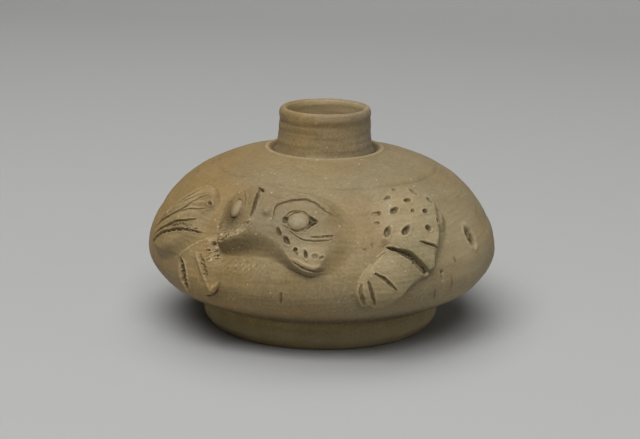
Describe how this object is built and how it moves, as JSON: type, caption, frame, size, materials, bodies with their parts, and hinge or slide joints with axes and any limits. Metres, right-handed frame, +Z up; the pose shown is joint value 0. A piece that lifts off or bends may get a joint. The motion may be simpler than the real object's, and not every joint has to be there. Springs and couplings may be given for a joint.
{
  "type": "frog-shaped jarlet",
  "caption": "Squat round stoneware jarlet on a low disc foot, with a short neck, an open mouth and a frog's head, legs and feet in relief round the belly.",
  "frame": {"origin": "middle of the flat face that the foot disc stands on", "axes": "+Z up through the mouth, -Y the way the frog looks, +X the viewer's right from the front"},
  "size_m": [0.1, 0.1, 0.062],
  "materials": {
    "body_glaze": "thin satin olive glaze over grey-brown stoneware",
    "neck_glaze": "thin satin glaze, darker and browner than the belly",
    "foot_clay": "dull brown glaze that thins to bare fired clay at the foot",
    "relief_glaze": "thin satin olive glaze, darker where it lies in the cuts",
    "eye_glaze": "smooth satin olive glaze"
  },
  "bodies": {
    "root": {"jar_body": "body_glaze", "neck_collar": "neck_glaze", "foot_disc": "foot_clay", "frog_head": "relief_glaze", "eye_right": "eye_glaze", "eye_left": "eye_glaze", "fore_leg_right": "relief_glaze", "fore_leg_left": "relief_glaze", "fore_foot_right": "relief_glaze", "fore_foot_left": "relief_glaze", "hind_leg_right": "relief_glaze", "hind_leg_left": "relief_glaze", "hind_foot_right": "relief_glaze", "hind_foot_left": "relief_glaze"}
  },
  "joints": []
}
